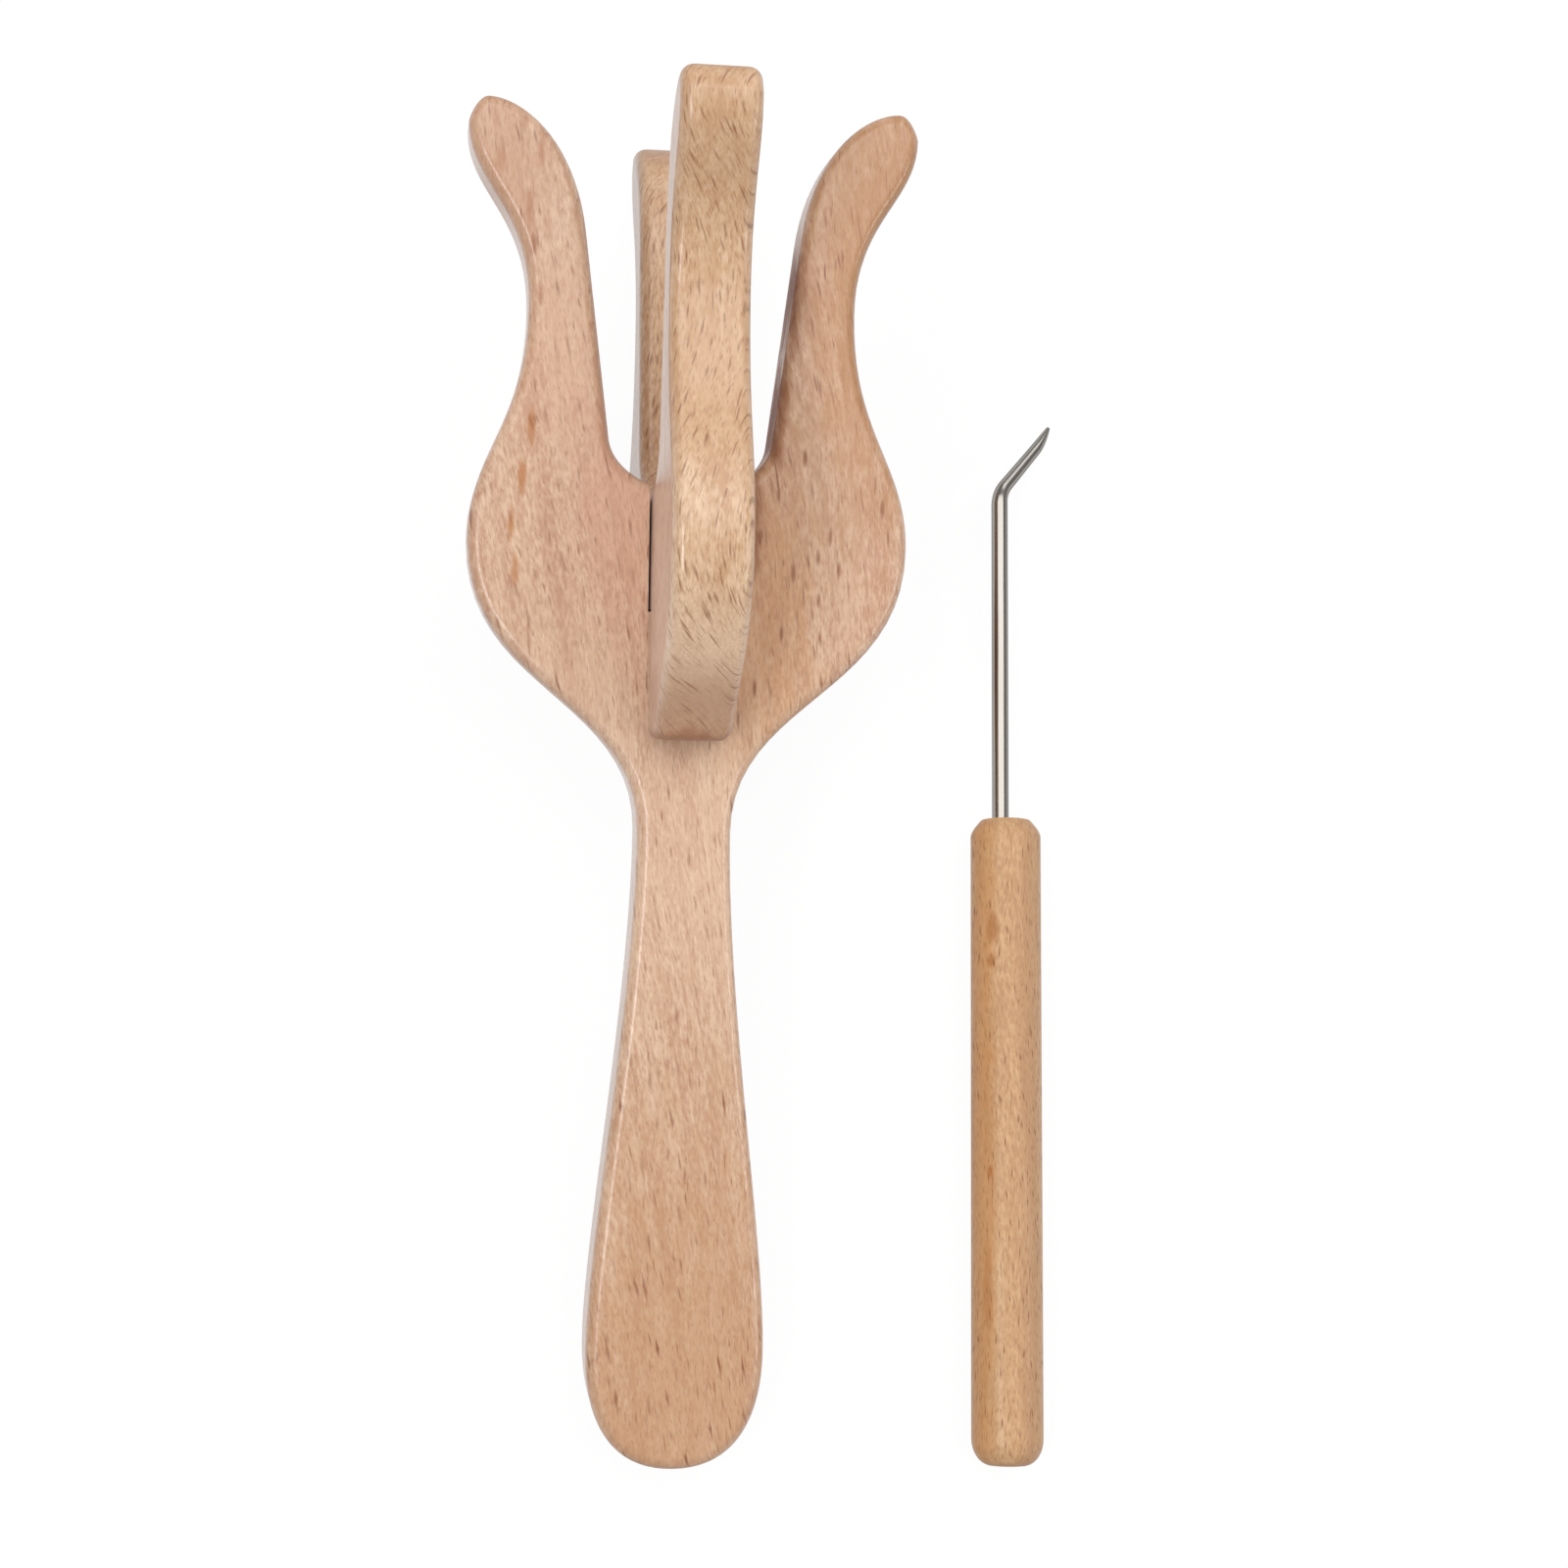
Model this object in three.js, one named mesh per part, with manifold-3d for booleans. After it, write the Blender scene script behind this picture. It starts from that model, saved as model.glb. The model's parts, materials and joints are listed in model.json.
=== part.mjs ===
// Wooden knitting fork with four prongs, and the hook that lifts the loops over them.
//
// Two beech plates of one outline cross at right angles. The long plate runs on into the handle and
// is slotted down from its throat; the short plate is slotted up from its legs and is pushed down
// into it, so that a prong points to each side, to the front and to the back. The hook is a bent
// steel needle in a turned dowel.
//
// Millimetres, +Z up. Fork and hook lie on a flat surface at Z = 0, +Y points towards the prongs,
// and the origin is on that surface, in the middle of the space that they take up.

import * as THREE from 'three';
import { mergeVertices, toCreasedNormals } from 'three/addons/utils/BufferGeometryUtils.js';
import Module from 'manifold-3d';

// Both plates: the board that they are sawn from, and the rounding run along every sawn edge
const BOARD = 11.5;
const EDGE_ROUND = 2;

// Outline shared by both plates. A half width is measured out from the centre line. The neck, the
// bulge and the throat's floor are placed from the middle of the joint, and each station further
// out from the one before it. The inner flanks of the prongs lean apart by an angle in degrees.
const NECK_DOWN = 32.3;
const NECK_HALF = 6.9;
const SWELL_BELOW_NECK = 76.7;
const SWELL_HALF = 13.2;
const END_BELOW_SWELL = 17.5;
const BULGE_UP = 10;
const BULGE_HALF = 32.3;
const WAIST_ABOVE_BULGE = 34.1;
const WAIST_HALF = 23.9;
const TIP_ABOVE_WAIST = 25.9;
const TIP_BEYOND_WAIST = 9;
const CREST_ABOVE_TIP = 3.8;
const CREST_INSET = 2.9;
const FLOOR_UP = 17.4;
const FLANK_ABOVE_FLOOR = 7.7;
const THROAT_HALF = 12;
const FLANK_LENGTH = 29.7;
const FLANK_LEAN = 7.2;

// How firmly the outline keeps its heading as it leaves one station and as it reaches the next,
// as shares of the way between the two
const HOLD_HANDLE_END = [0.75, 0.53];
const HOLD_SWELL_TO_NECK = [0.21, 0.33];
const HOLD_NECK_TO_BULGE = [0.47, 0.52];
const HOLD_BULGE_TO_WAIST = [0.37, 0.51];
const HOLD_WAIST_TO_TIP = [0.55, 0.34];
const HOLD_TIP_TO_CREST = [0.16, 0.59];
const HOLD_CREST_TO_FLANK = [0.29, 0.75];
const HOLD_FLANK_TO_FLOOR = [0.66, 0.38];

// Cross plate: where its two legs are cut off square, and how far that corner is eased
const LEG_END_DOWN = 18.6;
const LEG_CORNER = 1.6;

// Halving joint: play on each face of the slots and at their bottoms, and how far that play has
// let the cross plate turn from square, in degrees
const JOINT_PLAY = 0.3;
const CROSS_TURN = 1.4;

// Hook handle: a dowel, sloped at its mouth and rounded at its butt. Each easing has a depth from
// the dowel's side and a length from its end, and the mouth's slope runs straight for a share.
const DOWEL_RADIUS = 5.5;
const DOWEL_LENGTH = 99;
const MOUTH_EASE_DEPTH = 1.6;
const MOUTH_EASE_LENGTH = 2.6;
const MOUTH_STRAIGHT_SHARE = 0.67;
const BUTT_EASE_DEPTH = 3.1;
const BUTT_EASE_LENGTH = 4;

// Hook needle: steel wire that grows thinner through its bend and along the leg beyond it, and is
// ground to a point from the inside of the bend
const WIRE_RADIUS = 1.3;
const TANG_LENGTH = 24;
const SHANK_LENGTH = 51.4;
const BEND_RADIUS = 5;
const BEND_ANGLE = 42.5;
const BEND_END_RADIUS = 1.1;
const LEG_LENGTH = 15.2;
const POINT_BASE_RADIUS = 0.95;
const POINT_LENGTH = 5;
const POINT_RADIUS = 0.33;
const GRINDING_CURVE = 1.6;
const POINT_STEPS = 4;

// Bore of the dowel: a little off its middle, with play round the tang and below it
const BORE_OFFSET = 1.1;
const BORE_PLAY = 0.15;
const BORE_SPARE_DEPTH = 1;

// Where the hook lies beside the fork: from the fork's centre line and the middle of its joint to
// the middle of the dowel's mouth, and how far its line is turned from the fork's
const HOOK_ACROSS = 53.3;
const HOOK_DOWN = 26.6;
const HOOK_TURN = -1.1;

// Colours of the two plates, the dowel and the wire
const FORK_PLATE_BEECH = 0xcfa284;
const CROSS_PLATE_BEECH = 0xd8b393;
const DOWEL_BEECH = 0xd3a87e;
const WIRE_STEEL = 0x9b9690;

// Fineness of the facets
const FACET = 2.4;
const FEWEST_STEPS = 4;
const EDGE_STEPS = 3;
const DOWEL_SIDES = 40;
const BUTT_STEPS = 5;
const MOUTH_STEPS = 3;
const WIRE_SIDES = 14;
const BEND_STEPS = 6;

// Points closer together than this are one point, edges sharper than this angle stay crisp, and a
// search by halves ends after this many
const WELD = 1e-4;
const CREASE_ANGLE = Math.PI / 5;
const HALVINGS = 40;

const wasm = await Module();
wasm.setup();

const up = (length) => new THREE.Vector2(0, length);
const outward = (length) => new THREE.Vector2(length, 0);

// Materials

const beech = (colour) => new THREE.MeshStandardMaterial({ color: colour, roughness: 0.5 });
const steel = (colour) => new THREE.MeshStandardMaterial({ color: colour, roughness: 0.3, metalness: 1 });

// Solids that are cut from each other

function toSolid(geometry) {
  const bare = geometry.clone();
  bare.deleteAttribute('normal');
  bare.deleteAttribute('uv');
  const merged = mergeVertices(bare, WELD);
  const corners = merged.getIndex().array;
  const kept = [];
  for (let i = 0; i < corners.length; i += 3) {
    const [a, b, c] = corners.slice(i, i + 3);
    if (a !== b && b !== c && c !== a) kept.push(a, b, c);
  }
  return new wasm.Manifold(new wasm.Mesh({
    numProp: 3,
    vertProperties: new Float32Array(merged.getAttribute('position').array),
    triVerts: new Uint32Array(kept),
  }));
}

function cut(geometry, tool) {
  const mesh = toSolid(geometry).subtract(toSolid(tool)).getMesh();
  const result = new THREE.BufferGeometry();
  result.setAttribute('position', new THREE.BufferAttribute(new Float32Array(mesh.vertProperties), 3));
  result.setIndex(Array.from(mesh.triVerts));
  return result;
}

// A named piece, shaded smooth over its curves and crisp at its cut edges
function piece(name, geometry, material) {
  const mesh = new THREE.Mesh(toCreasedNormals(geometry, CREASE_ANGLE), material);
  mesh.name = name;
  return mesh;
}

// Outline of the plates

// A curve that leaves one point along one heading and reaches the next along another
function blend(from, leaving, to, reaching) {
  const first = from.clone().add(leaving);
  const second = to.clone().sub(reaching);
  return new THREE.CubicBezierCurve(from, first, second, to);
}

// Between two stations the outline heads straight along the fork at both
function sweep(from, to, [leave, reach]) {
  const run = to.y - from.y;
  return blend(from, up(leave * run), to, up(reach * run));
}

function roundedEnd() {
  const [leave, reach] = HOLD_HANDLE_END;
  return blend(end, outward(leave * swell.x), swell, up(reach * (swell.y - end.y)));
}

// The tip turns over its crest, and the prong's inner flank runs back down to the throat's floor
function insideOfProng() {
  const lean = THREE.MathUtils.degToRad(FLANK_LEAN);
  const downFlank = (length) => new THREE.Vector2(-Math.sin(lean), -Math.cos(lean)).multiplyScalar(length);
  const crest = new THREE.Vector2(tip.x - CREST_INSET, tip.y + CREST_ABOVE_TIP);
  const floor = new THREE.Vector2(0, FLOOR_UP);
  const flankFoot = new THREE.Vector2(THROAT_HALF, floor.y + FLANK_ABOVE_FLOOR);
  const flankTop = flankFoot.clone().sub(downFlank(FLANK_LENGTH / Math.cos(lean)));
  const [leaveTip, reachCrest] = HOLD_TIP_TO_CREST;
  const [leaveCrest, reachFlank] = HOLD_CREST_TO_FLANK;
  const [leaveFlank, reachFloor] = HOLD_FLANK_TO_FLOOR;
  return [
    blend(tip, up(leaveTip * CREST_ABOVE_TIP), crest, outward(-reachCrest * CREST_INSET)),
    blend(
      crest,
      outward(-leaveCrest * (crest.x - flankTop.x)),
      flankTop,
      downFlank(reachFlank * (crest.y - flankTop.y)),
    ),
    new THREE.LineCurve(flankTop, flankFoot),
    blend(
      flankFoot,
      downFlank(leaveFlank * FLANK_ABOVE_FLOOR),
      floor,
      outward(-reachFloor * THROAT_HALF),
    ),
  ];
}

const neck = new THREE.Vector2(NECK_HALF, -NECK_DOWN);
const swell = new THREE.Vector2(SWELL_HALF, neck.y - SWELL_BELOW_NECK);
const end = new THREE.Vector2(0, swell.y - END_BELOW_SWELL);
const bulge = new THREE.Vector2(BULGE_HALF, BULGE_UP);
const waist = new THREE.Vector2(WAIST_HALF, bulge.y + WAIST_ABOVE_BULGE);
const tip = new THREE.Vector2(waist.x + TIP_BEYOND_WAIST, waist.y + TIP_ABOVE_WAIST);
const handleSide = [roundedEnd(), sweep(swell, neck, HOLD_SWELL_TO_NECK)];
const neckToBulge = sweep(neck, bulge, HOLD_NECK_TO_BULGE);
const prongSide = [
  sweep(bulge, waist, HOLD_BULGE_TO_WAIST),
  sweep(waist, tip, HOLD_WAIST_TO_TIP),
  ...insideOfProng(),
];

// Points along a curve from a share of its way to its end, the first one left out
function pointsAlong(curve, start = 0) {
  const length = curve.getLength() * (1 - start);
  const steps = curve.isLineCurve ? 1 : Math.max(FEWEST_STEPS, Math.ceil(length / FACET));
  return Array.from({ length: steps }, (_, i) => curve.getPoint(start + (1 - start) * (i + 1) / steps));
}

// Share of a rising curve's way at which it passes a height
function shareAtHeight(curve, height) {
  let low = 0;
  let high = 1;
  for (let halving = 0; halving < HALVINGS; halving += 1) {
    const middle = (low + high) / 2;
    if (curve.getPoint(middle).y < height) low = middle;
    else high = middle;
  }
  return low;
}

function forkPlateHalf() {
  const curves = [...handleSide, neckToBulge, ...prongSide];
  return [end, ...curves.flatMap((curve) => pointsAlong(curve))];
}

// The legs end square across, with the corner eased into the outline above it
function crossPlateHalf() {
  const cutShare = shareAtHeight(neckToBulge, -LEG_END_DOWN);
  const corner = neckToBulge.getPoint(cutShare);
  const easedShare = cutShare + LEG_CORNER / neckToBulge.getLength();
  const easing = new THREE.QuadraticBezierCurve(
    corner.clone().sub(outward(LEG_CORNER)),
    corner,
    neckToBulge.getPoint(easedShare),
  );
  return [
    new THREE.Vector2(0, -LEG_END_DOWN),
    easing.getPoint(0),
    ...pointsAlong(easing),
    ...pointsAlong(neckToBulge, easedShare),
    ...prongSide.flatMap((curve) => pointsAlong(curve)),
  ];
}

// Plates: the half outline mirrored, sawn from the board, with all edges rounded over
function roundedPlate(half) {
  const otherHalf = half.slice(1, -1).reverse().map(({ x, y }) => new THREE.Vector2(-x, y));
  const flatDepth = BOARD - 2 * EDGE_ROUND;
  const geometry = new THREE.ExtrudeGeometry(new THREE.Shape([...half, ...otherHalf]), {
    depth: flatDepth,
    bevelThickness: EDGE_ROUND,
    bevelSize: EDGE_ROUND,
    bevelOffset: -EDGE_ROUND,
    bevelSegments: EDGE_STEPS,
  });
  return geometry.translate(0, 0, -flatDepth / 2);
}

// A straight slot through a plate, as wide as the other board and its play
function slot(from, to) {
  const width = BOARD + 2 * JOINT_PLAY;
  return new THREE.BoxGeometry(width, to - from, 2 * BOARD).translate(0, (from + to) / 2, 0);
}

function forkPlate() {
  const opening = slot(0, FLOOR_UP + FLANK_ABOVE_FLOOR);
  return piece('fork_plate', cut(roundedPlate(forkPlateHalf()), opening), beech(FORK_PLATE_BEECH));
}

function crossPlate() {
  const opening = slot(-2 * LEG_END_DOWN, JOINT_PLAY);
  const mesh = piece('cross_plate', cut(roundedPlate(crossPlateHalf()), opening), beech(CROSS_PLATE_BEECH));
  mesh.rotation.y = THREE.MathUtils.degToRad(CROSS_TURN - 90);
  return mesh;
}

// Hook handle: a dowel along Y with its mouth at the origin

function dowelProfile() {
  const butt = new THREE.EllipseCurve(
    DOWEL_RADIUS - BUTT_EASE_DEPTH,
    BUTT_EASE_LENGTH - DOWEL_LENGTH,
    BUTT_EASE_DEPTH,
    BUTT_EASE_LENGTH,
    -Math.PI / 2,
    0,
  );
  const mouth = new THREE.QuadraticBezierCurve(
    new THREE.Vector2(DOWEL_RADIUS, -MOUTH_EASE_LENGTH),
    new THREE.Vector2(DOWEL_RADIUS, -MOUTH_EASE_LENGTH * MOUTH_STRAIGHT_SHARE),
    new THREE.Vector2(DOWEL_RADIUS - MOUTH_EASE_DEPTH, 0),
  );
  return [
    new THREE.Vector2(0, -DOWEL_LENGTH),
    ...butt.getPoints(BUTT_STEPS),
    ...mouth.getPoints(MOUTH_STEPS),
    new THREE.Vector2(0, 0),
  ];
}

function hookHandle() {
  const radius = WIRE_RADIUS + BORE_PLAY;
  const depth = TANG_LENGTH + BORE_SPARE_DEPTH;
  const bore = new THREE.CylinderGeometry(radius, radius, 2 * depth, 2 * WIRE_SIDES);
  bore.translate(-BORE_OFFSET, 0, 0);
  const dowel = new THREE.LatheGeometry(dowelProfile(), DOWEL_SIDES);
  return piece('hook_handle', cut(dowel, bore), beech(DOWEL_BEECH));
}

// Hook needle: rings of points along the wire's middle line, skinned and closed at both ends

// Middle line of the wire, in the plane of its bend: place, heading and radius at each ring.
// The point is ground from the inside of the bend, so its middle line moves to the outside.
function wireRings() {
  const bend = THREE.MathUtils.degToRad(BEND_ANGLE);
  const start = new THREE.Vector2(-BORE_OFFSET, -TANG_LENGTH);
  const bendStart = new THREE.Vector2(-BORE_OFFSET, SHANK_LENGTH);
  const rings = [{ at: start, turn: 0, radius: WIRE_RADIUS }];
  for (let i = 0; i <= BEND_STEPS; i += 1) {
    const turn = bend * i / BEND_STEPS;
    const along = new THREE.Vector2(1 - Math.cos(turn), Math.sin(turn)).multiplyScalar(BEND_RADIUS);
    const radius = THREE.MathUtils.lerp(WIRE_RADIUS, BEND_END_RADIUS, i / BEND_STEPS);
    rings.push({ at: bendStart.clone().add(along), turn, radius });
  }
  const bendEnd = rings.at(-1).at;
  const heading = new THREE.Vector2(Math.sin(bend), Math.cos(bend));
  const toOutside = new THREE.Vector2(-Math.cos(bend), Math.sin(bend));
  for (let i = 0; i <= POINT_STEPS; i += 1) {
    const share = i / POINT_STEPS;
    const radius = THREE.MathUtils.lerp(POINT_BASE_RADIUS, POINT_RADIUS, share ** GRINDING_CURVE);
    const at = bendEnd.clone()
      .addScaledVector(heading, LEG_LENGTH - POINT_LENGTH * (1 - share))
      .addScaledVector(toOutside, POINT_BASE_RADIUS - radius);
    rings.push({ at, turn: bend, radius });
  }
  return rings;
}

function ringPoints({ at, turn, radius }) {
  return Array.from({ length: WIRE_SIDES }, (_, i) => {
    const angle = i / WIRE_SIDES * 2 * Math.PI;
    const across = radius * Math.cos(angle);
    return new THREE.Vector3(
      at.x + across * Math.cos(turn),
      at.y - across * Math.sin(turn),
      radius * Math.sin(angle),
    );
  });
}

function skin(rings) {
  const sides = rings[0].length;
  const first = rings.length * sides;
  const last = first + 1;
  const middle = (ring) => ring.reduce((sum, p) => sum.add(p), new THREE.Vector3()).divideScalar(sides);
  const points = [...rings.flat(), middle(rings[0]), middle(rings.at(-1))];
  const faces = [];
  for (let side = 0; side < sides; side += 1) {
    const next = (side + 1) % sides;
    for (let ring = 0; ring + 1 < rings.length; ring += 1) {
      const here = ring * sides;
      const there = here + sides;
      faces.push(here + side, there + side, there + next, here + side, there + next, here + next);
    }
    const top = first - sides;
    faces.push(first, side, next, last, top + next, top + side);
  }
  const geometry = new THREE.BufferGeometry().setFromPoints(points);
  geometry.setIndex(faces);
  return geometry;
}

function hookNeedle() {
  return piece('hook_needle', skin(wireRings().map(ringPoints)), steel(WIRE_STEEL));
}

// How the pieces come to rest on the surface

function lowestPoint(mesh, axis, angle) {
  mesh.updateMatrix();
  const turned = new THREE.Matrix4().makeRotationAxis(axis, angle).multiply(mesh.matrix);
  const corners = mesh.geometry.getAttribute('position').clone().applyMatrix4(turned);
  return new THREE.Box3().setFromBufferAttribute(corners).min.z;
}

// The turn about an axis, short of upright, that brings one piece down level with a resting one
function turnToRest(axis, swinging, resting) {
  let low = 0;
  let high = Math.PI / 2;
  for (let halving = 0; halving < HALVINGS; halving += 1) {
    const middle = (low + high) / 2;
    if (lowestPoint(swinging, axis, middle) > lowestPoint(resting, axis, middle)) low = middle;
    else high = middle;
  }
  return low;
}

// The fork lies on its back bulge and on the heel of its handle, which lifts the prongs
function lyingFork() {
  const across = new THREE.Vector3(1, 0, 0);
  const long = forkPlate();
  const cross = crossPlate();
  const group = new THREE.Group();
  const pitch = turnToRest(across, long, cross);
  group.add(long, cross);
  group.rotation.x = pitch;
  group.position.z = -lowestPoint(cross, across, pitch);
  return group;
}

// The dowel lies along the surface and rolls until the needle's point touches it
function lyingHook() {
  const along = new THREE.Vector3(0, 1, 0);
  const handle = hookHandle();
  const needle = hookNeedle();
  const rolled = new THREE.Group();
  rolled.add(handle, needle);
  rolled.rotation.y = turnToRest(along, needle, handle);
  const group = new THREE.Group();
  group.add(rolled);
  group.position.set(HOOK_ACROSS, -HOOK_DOWN, DOWEL_RADIUS);
  group.rotation.z = THREE.MathUtils.degToRad(HOOK_TURN);
  return group;
}

const knittingFork = new THREE.Group();
knittingFork.add(lyingFork(), lyingHook());
knittingFork.updateMatrixWorld(true);
const space = new THREE.Box3().setFromObject(knittingFork, true);
const middle = space.getCenter(new THREE.Vector3());
knittingFork.position.set(-middle.x, -middle.y, -space.min.z);

export default knittingFork;
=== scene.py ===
import json
import math

import bpy
from mathutils import Matrix, Vector


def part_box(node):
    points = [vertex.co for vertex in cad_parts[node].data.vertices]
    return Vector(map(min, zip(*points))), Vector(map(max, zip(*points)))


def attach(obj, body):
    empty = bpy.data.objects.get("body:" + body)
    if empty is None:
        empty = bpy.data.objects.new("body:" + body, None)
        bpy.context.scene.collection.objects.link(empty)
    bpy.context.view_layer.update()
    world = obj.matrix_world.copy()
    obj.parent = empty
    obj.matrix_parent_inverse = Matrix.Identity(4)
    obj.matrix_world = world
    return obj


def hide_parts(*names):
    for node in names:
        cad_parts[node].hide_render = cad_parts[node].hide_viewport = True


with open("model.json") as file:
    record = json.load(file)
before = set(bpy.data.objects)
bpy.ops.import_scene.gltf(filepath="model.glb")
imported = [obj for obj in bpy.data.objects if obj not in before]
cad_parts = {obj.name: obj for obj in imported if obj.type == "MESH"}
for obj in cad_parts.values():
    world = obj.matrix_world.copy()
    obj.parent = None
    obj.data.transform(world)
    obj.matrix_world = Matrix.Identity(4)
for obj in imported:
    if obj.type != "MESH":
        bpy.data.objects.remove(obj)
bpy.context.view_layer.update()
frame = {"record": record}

# Fork plate: the long beech board of the fork, with the handle and the two side prongs. It is
# sawn to its outline, rounded over along the sawn edge, slotted from its throat down to the
# middle of the joint, sanded and lacquered. Sizes in millimetres from the middle of the joint.
MILLIMETRE = 0.001
BOARD = 11.5
EDGE_ROUND = 2.0
JOINT_PLAY = 0.3
SLIT = 0.2
CREASE = 30


def bend(start, leaving, stop, arriving):
    """One stretch of the outline, as the four points of a Bezier curve."""
    return [start, start + leaving, stop - arriving, stop]


def sweep(start, stop, hold):
    """A stretch that heads straight along the fork at both ends."""
    run = Vector((0, stop.y - start.y))
    return bend(start, hold[0] * run, stop, hold[1] * run)


# The turning points of half the outline, from the handle's end up the side and into the throat
handle_end = Vector((0, -126.5))
swell = Vector((13.2, -109))
neck = Vector((6.9, -32.3))
bulge = Vector((32.3, 10))
waist = Vector((23.9, 44.1))
tip = Vector((32.9, 70))
crest = Vector((30, 73.8))
flank_foot = Vector((12, 25.1))
throat_floor = Vector((0, 17.4))
flank_lean = math.radians(7.2)
down_flank = Vector((-math.sin(flank_lean), -math.cos(flank_lean)))
flank = down_flank * (29.7 / math.cos(flank_lean))
flank_top = flank_foot - flank

# Each stretch is held at its two ends, over a share of its run or some millimetres.
handle_side = [
    bend(handle_end, Vector((9.9, 0)), swell, Vector((0, 9.275))),
    sweep(swell, neck, (0.21, 0.33)),
]
neck_to_bulge = sweep(neck, bulge, (0.47, 0.52))
prong_side = [
    sweep(bulge, waist, (0.37, 0.51)),
    sweep(waist, tip, (0.55, 0.34)),
    bend(tip, Vector((0, 0.61)), crest, Vector((-1.71, 0))),
    bend(crest, Vector((-0.29 * (crest.x - flank_top.x), 0)),
         flank_top, 0.75 * (crest.y - flank_top.y) * down_flank),
    bend(flank_top, flank / 3, flank_foot, flank / 3),
    bend(flank_foot, 5.08 * down_flank, throat_floor, Vector((-4.56, 0))),
]


def sawn_board(name, half):
    """A board in the outline that half of it and its mirror image make, rounded over all round."""
    other_half = [[Vector((-p.x, p.y)) for p in reversed(part)] for part in reversed(half)]
    outline = half + other_half
    bpy.ops.object.select_all(action="DESELECT")
    bpy.ops.curve.primitive_bezier_circle_add()
    board = bpy.context.object
    board.name = board.data.name = name
    points = board.data.splines[0].bezier_points
    points.add(len(outline) - len(points))
    for point in points:
        point.handle_left_type = point.handle_right_type = "FREE"
    for number, (start, leaving, arriving, stop) in enumerate(outline):
        following = points[(number + 1) % len(outline)]
        points[number].co = start.to_3d()
        points[number].handle_right = leaving.to_3d()
        following.handle_left = arriving.to_3d()
    board.data.dimensions = "2D"
    board.data.fill_mode = "BOTH"
    board.data.resolution_u = 20
    board.data.extrude = BOARD / 2 - EDGE_ROUND
    board.data.bevel_depth = EDGE_ROUND
    board.data.bevel_resolution = 5
    board.data.offset = -EDGE_ROUND
    bpy.ops.object.convert(target="MESH")
    board = bpy.context.object
    bpy.ops.object.mode_set(mode="EDIT")
    bpy.ops.mesh.select_all(action="SELECT")
    bpy.ops.mesh.remove_doubles(threshold=0.001)
    bpy.ops.mesh.normals_make_consistent(inside=False)
    bpy.ops.mesh.select_all(action="DESELECT")
    bpy.ops.object.mode_set(mode="OBJECT")
    for face in board.data.polygons:
        face.select = abs(face.normal.z) > 0.9999
    bpy.ops.object.mode_set(mode="EDIT")
    bpy.ops.mesh.dissolve_limited(angle_limit=math.radians(0.5))
    bpy.ops.object.mode_set(mode="OBJECT")
    return board


def cut_away(piece, tool):
    """Takes the tool's shape out of the piece, and the tool out of the scene."""
    bpy.context.view_layer.objects.active = piece
    boolean = piece.modifiers.new("cut", "BOOLEAN")
    boolean.object = tool
    boolean.solver = "EXACT"
    bpy.ops.object.modifier_apply(modifier=boolean.name)
    bpy.data.objects.remove(tool)


def sawn_slot(piece, left, right, bottom, top):
    """A straight slot through a board."""
    bpy.ops.object.select_all(action="DESELECT")
    bpy.ops.mesh.primitive_cube_add(
        size=1,
        location=((left + right) / 2, (bottom + top) / 2, 0),
        scale=(right - left, top - bottom, 2 * BOARD),
    )
    cut_away(piece, bpy.context.object)


def settle(piece, place, crease):
    """Puts the piece's mesh in its place, and shades it smooth but for its crisp edges."""
    piece.data.transform(place)
    bpy.ops.object.select_all(action="DESELECT")
    piece.select_set(True)
    bpy.context.view_layer.objects.active = piece
    bpy.ops.object.shade_smooth_by_angle(angle=math.radians(crease))
    weighted = piece.modifiers.new("flat faces", "WEIGHTED_NORMAL")
    weighted.keep_sharp = True
    bpy.ops.object.modifier_apply(modifier=weighted.name)


# The fork lies tipped back on its bulge and its handle's heel, as the mount on the handle says.
mount = next(m for m in frame["record"]["mounts"] if m["name"] == "handle_front")
tilt = Matrix.Rotation(math.asin(-mount["axis"][1]), 4, "X")
mount_on_board = Vector((0, swell.y, BOARD / 2))
joint_middle = Vector(mount["pos_m"]) - MILLIMETRE * (tilt @ mount_on_board)
fork_place = Matrix.Translation(joint_middle) @ tilt @ Matrix.Scale(MILLIMETRE, 4)

# The cross plate's play in its slot shows at its left, as a thin dark slit.
fork_plate = sawn_board("beech_fork_plate", handle_side + [neck_to_bulge] + prong_side)
sawn_slot(fork_plate, -BOARD / 2 - SLIT, BOARD / 2 + JOINT_PLAY, 0, flank_foot.y)
settle(fork_plate, fork_place, CREASE)
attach(fork_plate, "fork")
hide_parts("fork_plate")


def linear(code):
    """A colour written as sRGB hex, in the linear values that the shaders take."""
    parts = [int(code[i:i + 2], 16) / 255 for i in (1, 3, 5)]
    return (*(p / 12.92 if p <= 0.04045 else ((p + 0.055) / 1.055) ** 2.4 for p in parts), 1)


def add_node(material, kind, inputs, **settings):
    """Adds a node, with its settings, and links or sets its inputs."""
    made = material.node_tree.nodes.new(kind)
    for setting, value in settings.items():
        setattr(made, setting, value)
    for socket, value in inputs.items():
        if isinstance(value, bpy.types.NodeSocket):
            material.node_tree.links.new(value, made.inputs[socket])
        else:
            made.inputs[socket].default_value = value
    return made


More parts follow.
